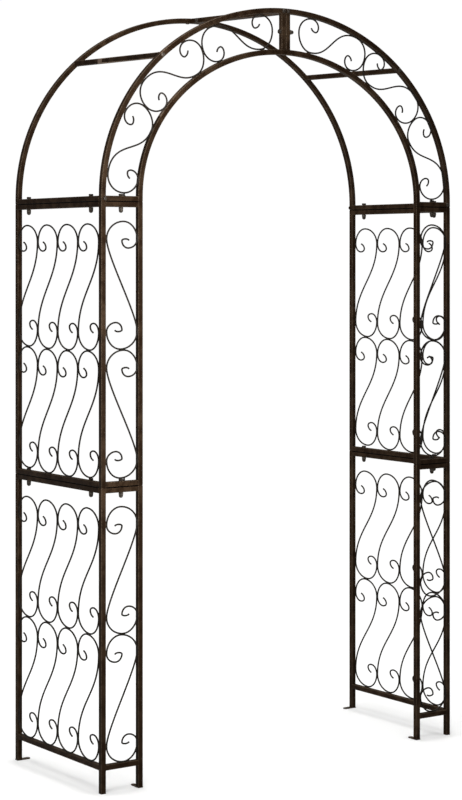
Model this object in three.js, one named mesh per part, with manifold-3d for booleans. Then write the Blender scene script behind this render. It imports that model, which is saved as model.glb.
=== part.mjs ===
// Metal trellis arch: two L-plan towers of square tube filled with S-scroll rods, each tower in
// two stacked sections, and an arched top in two halves that bolts down on them.
//
// Millimetres, +Z up. X runs across the passage (left is -X), the front is -Y.
// The origin is on the ground, midway between the towers and midway front to back.

import * as THREE from 'three';
import { mergeVertices } from 'three/addons/utils/BufferGeometryUtils.js';
import Module from 'manifold-3d';

const wasm = await Module();
wasm.setup();

// ---- driving dimensions ----

const OVERALL_WIDTH = 1300;
const OVERALL_DEPTH = 500;
const WING_PITCH = 124; // outer to inner front post, centre to centre
const LEG = 65; // post below the bottom rail
const LOWER_FRAME = 802; // bottom rail underside to the middle joint
const UPPER_FRAME = 813; // middle joint to the top joint
const FRONT_RISE = 566; // front outer arch centreline above its springing
const BACK_RISE = 580; // the single back arch stands a little higher

const TUBE = 16; // square tube, outside
const WALL = 1.2;
const ROD = 5; // scroll rod diameter
const GAP = 0.3; // between touching pieces
const HEAD_ROOM = 0.9; // between a bolt head and the scroll over it
const FACET_ROOM = 1.5; // the band is this much narrower, as the arches' flat facets lean in

const SCROLL_COLUMNS = 4; // across a side panel
const BAND_SCROLLS = 3; // along each half of the arched band
const SIDE_NUT_ROOM = 45; // free height under a side panel's top rail
const WING_NUT_ROOM = 38; // and under a wing's top rail
const CROWN_ROOM = 48; // free length of band on each side of the crown, for the bolt
const BOLT_INSET = 62; // side rail bolts, from the nearest post's centreline
const CROWN_BOLT_INSET = 38; // bolt through the crown bars, from the back arch's centreline
const BRACE_ANGLE = THREE.MathUtils.degToRad(46.5); // place of the cross brace on the arch
const WELD = 0.5; // overlap of rods welded side by side or to a rail
const ROW_WELD = 3.6; // overlap of two rods welded end to end, whose facets lean apart
const PEG_INSET = 8.3; // stand-off peg beside a wing's bolt head, from the bolt's centreline
const PEG_BITE = 4; // how far the peg reaches up past the underside of its scroll

const TAB_REACH = 30; // foot tab beyond its post
const TAB_THICKNESS = 3;
const TAB_HOLE = 7;

const BOLT_SHANK = 8;
const BOLT_HOLE = 8.8;
const HEX_FLATS = 13;
const HEAD_HEIGHT = 5.5;
const NUT_HEX = 7;
const NUT_HEIGHT = 16; // hexagon and dome together

const ARCH_STEPS = 18; // per quarter arch
const HOLE_SIDES = 8;
const TAB_END_STEPS = 6;
const CUT_OVERRUN = 1; // how far a cutter runs past the faces it opens
const MERGE_DISTANCE = 1e-4; // corners nearer than this are one corner

// ---- levels and centrelines worked out from them ----

const postX = (OVERALL_WIDTH - TUBE) / 2;
const innerX = postX - WING_PITCH;
const postY = (OVERALL_DEPTH - TUBE) / 2;
const middleZ = LEG + LOWER_FRAME;
const topZ = middleZ + UPPER_FRAME;
const springZ = topZ + TUBE;
const crownZ = springZ + FRONT_RISE;
const backCrownZ = springZ + BACK_RISE;
const half = TUBE / 2;
const rodSide = ROD * Math.sqrt(Math.PI / 4); // square of the same area
const rodOffset = (TUBE - ROD) / 2; // rods lie flush with the tubes' outer faces
const scrollLift = HEAD_HEIGHT + HEAD_ROOM; // a scroll that stands over a bolt head

const SIDES = [
  { name: 'left', sign: -1 },
  { name: 'right', sign: 1 },
];

// ---- materials ----

const paint = { color: 0x33281f, roughness: 0.55, metalness: 0.6 };
const tubeMaterial = new THREE.MeshStandardMaterial({ name: 'tube_paint', ...paint });
const rodMaterial = new THREE.MeshStandardMaterial({ name: 'rod_paint', ...paint, color: 0x2d2621 });
const boltMaterial = new THREE.MeshStandardMaterial({
  name: 'fastener_steel',
  color: 0x453c33,
  roughness: 0.45,
  metalness: 0.75,
});

const arch = new THREE.Group();
arch.name = 'metal_trellis_arch';

function addPiece(name, geometry, material) {
  const mesh = new THREE.Mesh(geometry, material);
  mesh.name = name;
  arch.add(mesh);
}

// ---- solids: three.js shapes, joined and cut ----

function solidOf(geometry) {
  const bare = geometry.clone();
  bare.deleteAttribute('normal');
  bare.deleteAttribute('uv');
  const merged = mergeVertices(bare, MERGE_DISTANCE);
  const mesh = new wasm.Mesh({
    numProp: 3,
    vertProperties: new Float32Array(merged.attributes.position.array),
    triVerts: new Uint32Array(merged.index.array),
  });
  return new wasm.Manifold(mesh);
}

function geometryOf(solid) {
  const mesh = solid.getMesh();
  const geometry = new THREE.BufferGeometry();
  geometry.setAttribute('position', new THREE.BufferAttribute(mesh.vertProperties, 3));
  geometry.setIndex(new THREE.BufferAttribute(mesh.triVerts, 1));
  return geometry;
}

function joined(geometries) {
  return geometries.map(solidOf).reduce((sum, next) => sum.add(next));
}

function drilled(geometry, cutters) {
  const whole = solidOf(geometry);
  return geometryOf(cutters.map(solidOf).reduce((rest, cutter) => rest.subtract(cutter), whole));
}

// ---- square tube ----

function squareShape(side) {
  const shape = new THREE.Shape();
  shape.moveTo(-side / 2, -side / 2);
  shape.lineTo(side / 2, -side / 2);
  shape.lineTo(side / 2, side / 2);
  shape.lineTo(-side / 2, side / 2);
  shape.closePath();
  return shape;
}

// A straight tube with open ends, centred on the origin, along 'x', 'y' or 'z'.
function straightTube(length, axis) {
  const section = squareShape(TUBE);
  section.holes.push(squareShape(TUBE - 2 * WALL));
  const geometry = new THREE.ExtrudeGeometry(section, { depth: length, bevelEnabled: false });
  geometry.translate(0, 0, -length / 2);
  if (axis === 'x') geometry.rotateY(Math.PI / 2);
  if (axis === 'y') geometry.rotateX(Math.PI / 2);
  return geometry;
}

// A straight tube between two levels or stations along its axis; `at` gives the other two.
function tubeBetween(from, to, axis, at) {
  const geometry = straightTube(to - from, axis);
  const centre = new THREE.Vector3(at.x ?? 0, at.y ?? 0, at.z ?? 0);
  centre[axis] = (from + to) / 2;
  return geometry.translate(centre.x, centre.y, centre.z);
}

function holeCutter(axis, centre) {
  const length = TUBE + 2 * CUT_OVERRUN;
  const cutter = new THREE.CylinderGeometry(BOLT_HOLE / 2, BOLT_HOLE / 2, length, HOLE_SIDES);
  if (axis === 'z') cutter.rotateX(Math.PI / 2);
  if (axis === 'x') cutter.rotateZ(Math.PI / 2);
  return cutter.translate(centre.x, centre.y, centre.z);
}

// ---- scroll rods ----

// A path through a list of points, with one step per point.
class StationPath extends THREE.Curve {
  constructor(points) {
    super();
    this.points = points;
  }

  getPoint(t) {
    const place = t * (this.points.length - 1);
    const index = Math.min(Math.floor(place), this.points.length - 2);
    return this.points[index].clone().lerp(this.points[index + 1], place - index);
  }

  getTangent(t) {
    const index = Math.round(t * (this.points.length - 1));
    const here = this.points[index];
    const before = this.points[Math.max(index - 1, 0)];
    const after = this.points[Math.min(index + 1, this.points.length - 1)];
    const arriving = here.clone().sub(before).normalize();
    const leaving = after.clone().sub(here).normalize();
    return arriving.add(leaving).normalize();
  }

  getUtoTmapping(u) {
    return u;
  }
}

// The styles of scroll. `bend` is how far the stem runs on before it leans over, and `stem`
// holds its stations from its middle to the shoulder. `curl` holds the extreme points of the
// upper curl: across, in half widths from the scroll's centreline, and down from its top, in
// millimetres. They go from the shoulder over the top, down the far side, under, back up
// inside and, in a wing, over again. `steps` divides the quarter turns between them, and the
// rod is cut off one step before the last point.
const SIDE_SCROLL = {
  bend: 110,
  stem: [0.5, 0.65, 0.8, 0.9, 1],
  curl: [[-1, 50], [0.12, 0], [1, 50], [0.51, 77], [0.18, 67], [0.74, 48]],
  steps: [3, 3, 2, 2, 3],
};
const WING_SCROLL = {
  bend: 50,
  stem: [0.5, 0.8, 1],
  curl: [[-1, 50], [0.1, 0], [1, 50], [0.41, 76], [0, 55], [0.25, 50], [0.49, 57]],
  steps: [3, 3, 2, 2, 2, 3],
};
const BAND_SCROLL = {
  bend: 90,
  stem: [0.5, 0.65, 0.8, 0.9, 1],
  curl: [[-1, 50], [0.12, 0], [1, 44], [0.52, 70], [0.26, 61], [0.64, 42]],
  steps: [3, 3, 2, 2, 3],
};

// A quarter of an ellipse between two extreme points, without its first point. It leaves
// upright when `upright` is true and level when it isn't.
function quarterTurn(from, to, upright, steps) {
  const points = [];
  for (let i = 1; i <= steps; i += 1) {
    const angle = (i / steps) * (Math.PI / 2);
    const early = Math.sin(angle);
    const late = 1 - Math.cos(angle);
    const u = THREE.MathUtils.lerp(from.x, to.x, upright ? late : early);
    const v = THREE.MathUtils.lerp(from.y, to.y, upright ? early : late);
    points.push(new THREE.Vector2(u, v));
  }
  return points;
}

// Half of an S-scroll, from the middle of its stem to the tip of its upper curl, as (u, v)
// points about the scroll's centre. a and b are half the width and half the height.
function halfScroll(a, b, style) {
  const extremes = style.curl.map(([u, down]) => new THREE.Vector2(u * a, b - down));
  const shoulder = extremes[0];
  const bend = new THREE.Vector2(0, style.bend);
  const stem = new THREE.CubicBezierCurve(
    shoulder.clone().negate(),
    shoulder.clone().negate().add(bend),
    shoulder.clone().sub(bend),
    shoulder
  );
  const points = style.stem.map((t) => stem.getPoint(t));
  style.steps.forEach((steps, i) => {
    points.push(...quarterTurn(extremes[i], extremes[i + 1], i % 2 === 0, steps));
  });
  points.pop(); // the cut end
  return points;
}

// Both halves: the lower one is the upper one turned half a turn.
function scrollPoints(a, b, style) {
  const upper = halfScroll(a, b, style);
  const lower = upper.slice(1).map((p) => new THREE.Vector2(-p.x, -p.y));
  return [...lower.reverse(), ...upper];
}

// One rod. `place` turns a scroll point (u, v) into a point in space.
function scrollRod(width, height, hand, style, place) {
  const a = (width - rodSide) / 2;
  const b = (height - rodSide) / 2;
  const points = scrollPoints(a, b, style).map((p) => place(hand * p.x, p.y));
  return new THREE.ExtrudeGeometry(squareShape(rodSide), {
    steps: points.length - 1,
    bevelEnabled: false,
    extrudePath: new StationPath(points),
  });
}

// ---- tower sections ----

const SECTIONS = [
  { name: 'lower', base: LEG, top: middleZ - GAP / 2, foot: 0, wingHand: 1, lift: 0 },
  {
    name: 'upper',
    base: middleZ + GAP / 2,
    top: topZ - GAP / 2,
    foot: middleZ + GAP / 2,
    wingHand: -1,
    lift: scrollLift,
  },
];

function footTab(x, y, angle) {
  const reach = half + TAB_REACH;
  const outline = new THREE.Shape();
  outline.moveTo(-half, -half);
  outline.lineTo(reach - half, -half);
  outline.absarc(reach - half, 0, half, -Math.PI / 2, Math.PI / 2, false);
  outline.lineTo(-half, half);
  outline.closePath();
  const hole = new THREE.Path();
  hole.absarc(reach - TUBE, 0, TAB_HOLE / 2, 0, 2 * Math.PI, true);
  outline.holes.push(hole);
  const plate = new THREE.ExtrudeGeometry(outline, {
    depth: TAB_THICKNESS,
    bevelEnabled: false,
    curveSegments: TAB_END_STEPS,
  });
  return plate.rotateZ(angle).translate(x, y, 0);
}

// The three posts of one section. In the lower section two of them stand on a foot tab.
function addPosts(side, section) {
  const inward = side.sign > 0 ? Math.PI : 0;
  const posts = [
    { name: 'outer_back', x: postX, y: postY, tabAngle: inward },
    { name: 'outer_front', x: postX, y: -postY },
    { name: 'inner_front', x: innerX, y: -postY, tabAngle: Math.PI / 2 },
  ];
  for (const post of posts) {
    const x = side.sign * post.x;
    let geometry = tubeBetween(section.foot, section.top, 'z', { x, y: post.y });
    if (section.name === 'lower' && post.tabAngle !== undefined) {
      geometry = geometryOf(joined([geometry, footTab(x, post.y, post.tabAngle)]));
    }
    addPiece(`${side.name}_${section.name}_post_${post.name}`, geometry, tubeMaterial);
  }
}

function sideRail(side, z) {
  const reach = postY - half - GAP;
  return tubeBetween(-reach, reach, 'y', { x: side.sign * postX, z });
}

function wingRail(side, z) {
  const ends = [side.sign * (innerX + half + GAP), side.sign * (postX - half - GAP)];
  return tubeBetween(Math.min(...ends), Math.max(...ends), 'x', { y: -postY, z });
}

// Where the vertical bolts stand, in plan.
function sideBoltPlaces(side) {
  const x = side.sign * postX;
  return [
    { name: 'front', x, y: -postY + BOLT_INSET },
    { name: 'back', x, y: postY - BOLT_INSET },
  ];
}

function wingBoltPlace(side) {
  return { name: 'wing', x: side.sign * (postX + innerX) / 2, y: -postY };
}

function railHoles(places, z) {
  return places.map((place) => holeCutter('z', new THREE.Vector3(place.x, place.y, z)));
}

// Two rods one above the other in one column; they meet at mid height.
function scrollColumn(width, bottom, top, hand, style, place) {
  const height = (top - bottom + ROW_WELD) / 2;
  return [bottom + height / 2, top - height / 2].map((middle) =>
    scrollRod(width, height, hand, style, (u, v) => place(u, middle + v))
  );
}

// The short peg that carries a wing's or the band's scroll clear of the bolt head. It stands
// on the passage side of the bolt.
function standOff(side, from, to) {
  const x = wingBoltPlace(side).x - side.sign * PEG_INSET;
  const peg = new THREE.BoxGeometry(rodSide, rodSide, to - from);
  return peg.translate(x, -postY - rodOffset, (from + to) / 2);
}

function addSidePanel(side, section) {
  const x = side.sign * (postX + rodOffset);
  const railTop = section.base + TUBE;
  const clear = 2 * (postY - half - GAP);
  const pitch = (clear - 2 * WELD) / SCROLL_COLUMNS;
  const top = section.top - TUBE - SIDE_NUT_ROOM;
  const rods = [];
  for (let column = 0; column < SCROLL_COLUMNS; column += 1) {
    const y = (column - (SCROLL_COLUMNS - 1) / 2) * pitch;
    const overBolt = column === 0 || column === SCROLL_COLUMNS - 1;
    const lift = overBolt ? section.lift : 0;
    const place = (u, z) => new THREE.Vector3(x, y + u, z);
    const bottom = railTop - WELD + lift;
    rods.push(...scrollColumn(pitch + 2 * WELD, bottom, top, 1, SIDE_SCROLL, place));
  }
  const holes = section.name === 'upper' ? sideBoltPlaces(side) : [];
  const rail = drilled(sideRail(side, section.base + half), railHoles(holes, section.base + half));
  const name = `${side.name}_${section.name}_side`;
  addPiece(`${name}_scrollwork`, geometryOf(joined([rail, ...rods])), rodMaterial);

  const topRailZ = section.top - half;
  const topRail = drilled(sideRail(side, topRailZ), railHoles(sideBoltPlaces(side), topRailZ));
  addPiece(`${name}_top_rail`, topRail, tubeMaterial);
}

function addWing(side, section) {
  const bolt = wingBoltPlace(side);
  const railTop = section.base + TUBE;
  const width = WING_PITCH - TUBE - 2 * GAP;
  const bottom = section.lift > 0 ? railTop + section.lift : railTop - WELD;
  const top = section.top - TUBE - WING_NUT_ROOM;
  const place = (u, z) => new THREE.Vector3(bolt.x + side.sign * u, -postY - rodOffset, z);
  const pieces = scrollColumn(width, bottom, top, section.wingHand, WING_SCROLL, place);
  const railZ = section.base + half;
  let rail = wingRail(side, railZ);
  if (section.lift > 0) {
    rail = drilled(rail, railHoles([bolt], railZ));
    pieces.push(standOff(side, railTop - WELD, railTop + section.lift + PEG_BITE));
  }
  const name = `${side.name}_${section.name}_wing`;
  addPiece(`${name}_scrollwork`, geometryOf(joined([rail, ...pieces])), rodMaterial);

  const topRailZ = section.top - half;
  const topRail = drilled(wingRail(side, topRailZ), railHoles([bolt], topRailZ));
  addPiece(`${name}_top_rail`, topRail, tubeMaterial);
}

// ---- the arched top ----

// A point on one half of the arch: angle 0 is the springing, a quarter turn the crown.
// `offset` is measured outward from the outer arch's centreline.
function archPoint(angle, offset, rise = FRONT_RISE) {
  const onCurve = new THREE.Vector2(postX * Math.cos(angle), rise * Math.sin(angle));
  const normal = new THREE.Vector2(Math.cos(angle) / postX, Math.sin(angle) / rise).normalize();
  return onCurve.addScaledVector(normal, offset).add(new THREE.Vector2(0, springZ));
}

// The line midway along the band between the two front arches.
class BandLine extends THREE.Curve {
  getPoint(t) {
    return archPoint((t * Math.PI) / 2, -WING_PITCH / 2);
  }
}

const bandLine = new BandLine();

// One edge of a bent tube, from the top joint to the crown. `overrun` carries it past both ends.
function archEdge(offset, rise, overrun) {
  const points = [new THREE.Vector2(postX + offset, topZ + GAP / 2 - overrun)];
  for (let i = 0; i < ARCH_STEPS; i += 1) {
    points.push(archPoint((i / ARCH_STEPS) * (Math.PI / 2), offset, rise));
  }
  points.push(new THREE.Vector2(GAP / 2 - overrun, springZ + rise + offset));
  return points;
}

// A solid bar, square in section, that follows the arch about a given offset.
function archBar(sign, offset, rise, side, overrun) {
  const outer = archEdge(offset + side / 2, rise, overrun);
  const inner = archEdge(offset - side / 2, rise, overrun);
  const outline = [...outer, ...inner.reverse()].map((p) => new THREE.Vector2(sign * p.x, p.y));
  const bar = new THREE.ExtrudeGeometry(new THREE.Shape(outline), { depth: side, bevelEnabled: false });
  return bar.rotateX(Math.PI / 2).translate(0, side / 2, 0);
}

// A bent square tube with open ends, in the plane y.
function archTube(sign, offset, rise, y) {
  const outside = archBar(sign, offset, rise, TUBE, 0);
  const bore = archBar(sign, offset, rise, TUBE - 2 * WALL, CUT_OVERRUN);
  return drilled(outside, [bore]).translate(0, y, 0);
}

// A tube from the back arch to the front outer arch, given its two ends as (x, z). It falls a
// little toward the front, so its square ends stay clear of the arches by its tilt.
function crossTube(back, front) {
  const run = 2 * (postY - half - GAP);
  const fall = Math.atan2(back.y - front.y, run);
  const length = (run - TUBE * Math.sin(fall)) / Math.cos(fall);
  const tube = straightTube(length, 'y').rotateX(fall);
  return tube.translate((back.x + front.x) / 2, 0, (back.y + front.y) / 2);
}

function addBandScrolls(side) {
  const length = bandLine.getLength();
  const start = (scrollLift + ROW_WELD / 2) / length;
  const end = 1 - CROWN_ROOM / length;
  const step = (end - start) / BAND_SCROLLS;
  const width = WING_PITCH - TUBE - FACET_ROOM;
  const baseRailTop = springZ + GAP / 2;
  const rods = [standOff(side, baseRailTop + GAP, baseRailTop + scrollLift + PEG_BITE)];
  for (let i = 0; i < BAND_SCROLLS; i += 1) {
    const middle = start + (i + 0.5) * step;
    const place = (u, v) => {
      const angle = bandLine.getUtoTmapping(middle + v / length) * (Math.PI / 2);
      const point = archPoint(angle, u - WING_PITCH / 2);
      return new THREE.Vector3(side.sign * point.x, -postY - rodOffset, point.y);
    };
    rods.push(scrollRod(width, step * length + ROW_WELD, 1, BAND_SCROLL, place));
  }
  addPiece(`${side.name}_band_scrolls`, geometryOf(joined(rods)), rodMaterial);
}

function addArchHalf(side) {
  const { name, sign } = side;
  addPiece(`${name}_outer_arch`, archTube(sign, 0, FRONT_RISE, -postY), tubeMaterial);
  addPiece(`${name}_inner_arch`, archTube(sign, -WING_PITCH, FRONT_RISE, -postY), tubeMaterial);
  addPiece(`${name}_back_arch`, archTube(sign, 0, BACK_RISE, postY), tubeMaterial);
  addBandScrolls(side);

  const baseZ = topZ + GAP / 2 + half;
  const sideBase = drilled(sideRail(side, baseZ), railHoles(sideBoltPlaces(side), baseZ));
  addPiece(`${name}_side_base_rail`, sideBase, tubeMaterial);
  const wingBase = drilled(wingRail(side, baseZ), railHoles([wingBoltPlace(side)], baseZ));
  addPiece(`${name}_wing_base_rail`, wingBase, tubeMaterial);

  const crownX = sign * (half + GAP / 2);
  const uprightFrom = crownZ - WING_PITCH + half + GAP;
  const uprightTo = crownZ - half - 3 * GAP; // clear of the outer arch's first facet
  const upright = tubeBetween(uprightFrom, uprightTo, 'z', { x: crownX, y: -postY });
  const uprightHole = holeCutter('x', new THREE.Vector3(crownX, -postY, crownBolts.front.z));
  addPiece(`${name}_crown_upright`, drilled(upright, [uprightHole]), tubeMaterial);

  const bar = crossTube(new THREE.Vector2(crownX, backCrownZ), new THREE.Vector2(crownX, crownZ));
  const barHole = holeCutter('x', new THREE.Vector3(crownX, crownBolts.back.y, crownBolts.back.z));
  addPiece(`${name}_crown_bar`, drilled(bar, [barHole]), tubeMaterial);

  const [braceBack, braceFront] = [BACK_RISE, FRONT_RISE].map((rise) => {
    const end = archPoint(BRACE_ANGLE, 0, rise);
    return new THREE.Vector2(sign * end.x, end.y);
  });
  addPiece(`${name}_arch_brace`, crossTube(braceBack, braceFront), tubeMaterial);
}

// ---- bolts ----

// A hexagon bolt with its cap nut, through two tubes that lie face to face at the origin.
// The head is up, the nut is down, and two of the hexagon's corners point along x.
function boltAndNut() {
  const hex = HEX_FLATS / 2 / Math.cos(Math.PI / 6);
  const shank = BOLT_SHANK / 2;
  const grip = TUBE + GAP / 2 + GAP;
  const profile = [
    [0, -grip - NUT_HEIGHT],
    [0.45 * hex, -grip - 0.94 * NUT_HEIGHT],
    [0.85 * hex, -grip - 0.72 * NUT_HEIGHT],
    [0.92 * hex, -grip - NUT_HEX],
    [hex, -grip - NUT_HEX],
    [hex, -grip],
    [shank, -grip],
    [shank, grip],
    [hex, grip],
    [hex, grip + HEAD_HEIGHT],
    [0, grip + HEAD_HEIGHT],
  ];
  const turned = new THREE.LatheGeometry(
    profile.map(([r, h]) => new THREE.Vector2(r, h)),
    6,
    Math.PI / 6
  );
  return turned.rotateX(Math.PI / 2);
}

const backBoltY = postY - CROWN_BOLT_INSET;
const barFall = (backCrownZ - crownZ) / (2 * (postY - half - GAP));
const crownBolts = {
  front: { y: -postY, z: crownZ - WING_PITCH / 2 },
  back: { y: backBoltY, z: (backCrownZ + crownZ) / 2 + backBoltY * barFall },
};

function addTowerBolts(side) {
  const joints = [
    { name: 'middle', z: middleZ },
    { name: 'top', z: topZ },
  ];
  for (const joint of joints) {
    for (const place of [...sideBoltPlaces(side), wingBoltPlace(side)]) {
      const bolt = boltAndNut().translate(place.x, place.y, joint.z);
      addPiece(`${side.name}_${joint.name}_bolt_${place.name}`, bolt, boltMaterial);
    }
  }
}

// The crown bolts lie across the passage and clamp the two halves of the arch together.
function addCrownBolts() {
  for (const [name, place] of Object.entries(crownBolts)) {
    const bolt = boltAndNut().rotateY(-Math.PI / 2).translate(0, place.y, place.z);
    addPiece(`crown_bolt_${name}`, bolt, boltMaterial);
  }
}

// ---- the whole arch ----

for (const side of SIDES) {
  for (const section of SECTIONS) {
    addPosts(side, section);
    addSidePanel(side, section);
    addWing(side, section);
  }
  addArchHalf(side);
  addTowerBolts(side);
}
addCrownBolts();

export default arch;
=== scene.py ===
"""Metal trellis arch: the visible model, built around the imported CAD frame.

Metres, +Z up. X runs across the passage (left is -X), the front is -Y, the ground is Z = 0.
"""

import math
import random

import bpy
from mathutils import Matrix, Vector, noise


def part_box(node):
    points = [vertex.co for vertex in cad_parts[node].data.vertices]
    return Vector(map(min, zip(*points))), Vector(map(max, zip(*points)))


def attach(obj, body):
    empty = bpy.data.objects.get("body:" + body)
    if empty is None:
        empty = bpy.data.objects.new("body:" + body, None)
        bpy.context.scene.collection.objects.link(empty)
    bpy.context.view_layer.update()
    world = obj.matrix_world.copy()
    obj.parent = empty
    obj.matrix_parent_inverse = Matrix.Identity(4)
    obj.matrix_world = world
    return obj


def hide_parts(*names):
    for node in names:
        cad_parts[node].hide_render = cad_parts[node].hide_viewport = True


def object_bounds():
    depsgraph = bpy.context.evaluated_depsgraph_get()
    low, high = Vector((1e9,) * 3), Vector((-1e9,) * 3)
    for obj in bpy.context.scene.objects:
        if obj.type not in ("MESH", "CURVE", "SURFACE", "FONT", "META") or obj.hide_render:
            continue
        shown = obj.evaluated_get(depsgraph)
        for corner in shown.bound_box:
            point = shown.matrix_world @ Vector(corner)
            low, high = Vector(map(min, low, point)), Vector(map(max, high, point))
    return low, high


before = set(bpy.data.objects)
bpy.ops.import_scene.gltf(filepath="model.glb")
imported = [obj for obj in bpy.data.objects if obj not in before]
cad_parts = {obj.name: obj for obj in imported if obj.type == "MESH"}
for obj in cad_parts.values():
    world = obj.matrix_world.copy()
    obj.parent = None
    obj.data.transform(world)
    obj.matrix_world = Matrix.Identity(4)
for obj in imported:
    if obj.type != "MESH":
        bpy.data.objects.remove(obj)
cad_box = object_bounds()

X = Vector((1, 0, 0))
Y = Vector((0, 1, 0))
Z = Vector((0, 0, 1))

SIDES = {"left": -1, "right": 1}
SECTIONS = ("lower", "upper")

# ---- sections and fasteners ----

TUBE = 0.016
HALF = TUBE / 2
WALL = 0.0012
CORNER = 0.0022  # outside corner radius of the tube
BORE_CORNER = 0.0007
ROD = 0.005
GAP = 0.0003  # between touching pieces of the frame
CLOSE = 0.00014  # each visible tube reaches this much further into the gap of a bolted joint
END_EASE = 0.0016  # rounding of the closed ends of posts and arches
EASE_MIDDLE = END_EASE * 0.3  # depth and inset of the middle of that rounding
PLUG = 0.003  # thickness of those closed ends

HEAD_HEIGHT = 0.0055
NUT_HEIGHT = 0.016
NUT_HEX_HEIGHT = 0.007
HEX_FLATS = 0.013
SHANK = 0.008

TAB_REACH = 0.030  # from the post's face
TAB_THICKNESS = 0.003
TAB_HOLE = 0.007

SCREW_HEAD = 0.0120
SCREW_HEIGHT = 0.0030
BASE_SCREW_INSET = 0.004  # from the post's centreline, toward the passage
UNDER_SCREW_X = 0.028  # small screws under the back arch, from the crown seam
BRACE_ANGLE = math.radians(46.5)  # round the arch, from its springing

# ---- levels and centrelines, read from the frame ----

_, high = cad_box
POST_X = high.x - HALF
POST_Y = high.y - HALF
INNER_X = sum(corner.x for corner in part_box("right_upper_post_inner_front")) / 2
WING_PITCH = POST_X - INNER_X
WING_MIDDLE = (POST_X + INNER_X) / 2
TOP_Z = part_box("right_upper_side_top_rail")[1].z + GAP / 2
SPRING_Z = TOP_Z + TUBE
FRONT_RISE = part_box("right_outer_arch")[1].z - HALF - SPRING_Z
BACK_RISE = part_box("right_back_arch")[1].z - HALF - SPRING_Z
CROWN_Z = SPRING_Z + FRONT_RISE
BACK_CROWN_Z = SPRING_Z + BACK_RISE

# ---- scrolls ----

SCROLL_COLUMNS = 4
BAND_SCROLLS = 3
WELD = 0.0005  # overlap of rods welded side by side or to a rail
ROW_WELD = 0.002  # overlap of two rods welded end to end
HEAD_ROOM = 0.0009  # between a bolt head and the scroll over it
SCROLL_LIFT = HEAD_HEIGHT + HEAD_ROOM  # of a scroll that stands over a bolt head
CROWN_ROOM = 0.048  # left free at the crown, along the band
FACET_ROOM = 0.0009  # that the band's scrolls leave between the two front arches
ROD_OFFSET = (TUBE - ROD) / 2  # rods lie flush with the tubes' outer faces
PEG_INSET = 0.0075  # from a wing bolt's axis toward the passage
PEG_BITE = 0.004  # how far a peg overlaps the scroll that it carries

# The styles of scroll. "bend" is the length of the upright handles of the stem's curve, and the
# longer they are, the more it leans in the middle. "curl" holds the extreme points of the upper
# curl: across, in half widths from the scroll's centreline, and down from its top, in metres. The
# rod is cut off partway round the last quarter turn.
SIDE_SCROLL = {
    "bend": 0.110,
    "curl": ((-1, 0.050), (0.12, 0), (1, 0.050), (0.51, 0.077), (0.18, 0.067), (0.74, 0.048)),
}
WING_SCROLL = {
    "bend": 0.050,
    "curl": (
        (-1, 0.050),
        (0.1, 0),
        (1, 0.050),
        (0.41, 0.076),
        (0, 0.055),
        (0.25, 0.050),
        (0.49, 0.057),
    ),
}
BAND_SCROLL = {
    "bend": 0.090,
    "curl": ((-1, 0.050), (0.12, 0), (1, 0.044), (0.52, 0.070), (0.26, 0.061), (0.64, 0.042)),
}
TURN_STEPS = 12
TIP_STEPS = 8  # of the last turn's steps
STEM_STEPS = 16

# ---- fineness of the meshes ----

ARC_STEPS = 4
SUPPORT = 0.0006  # from a rounded corner to the line that keeps the flat face flat
ARCH_STEPS = 72
BAND_STEPS = 400
ROD_SIDES = 12
HEX_SIDES = 48  # of bolts, nuts and screws, round or hexagonal
BEAD_SIDES = 8
SHARP = math.radians(38)

dice = random.Random(16)


# ---- materials ----

MIX_FIRST, MIX_SECOND, MIX_RESULT = 6, 7, 2  # the colour sockets of a Mix node

# Each noise is eased from one value to another between two of its levels. The grains are noise
# scales, per metre.
CLOUD_LEVELS = (0.35, 0.68)
STREAK_LEVELS = (0.3, 0.7)
STREAK_LEAST = 0.35  # of the clouds' lightness, that a streak leaves
STREAK_SIZE = 7  # in clouds
PATCH_LEVELS = (0.36, 0.6)
PATCH_LEAST = 0.15  # of the edges' wear and painted highlight, that shows between the worn patches
PATCH_GRAIN = 260
GLOSS_LEVELS = (0.3, 0.7)
GLOSS_GRAIN = 1.7  # times the mottle's
GLOSS_DIP = 0.07  # of the roughness
GLOSS_RISE = 0.09
SKIN_GRAIN = 750
SKIN_DEPTH = 0.00025
SKIN_STRENGTH = 0.35
METALLIC = 0.2
SPECULAR = 0.05
# Painted shade: a near-black laid in the groove between stacked rails, where shade falls.
PAINTED_CREVICE_SHADE = (0.0030, 0.0016, 0.0009)
CREVICE_SHADE_LEVELS = (-0.7, -0.1)  # wear values of full painted crevice shade, and of none


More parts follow.
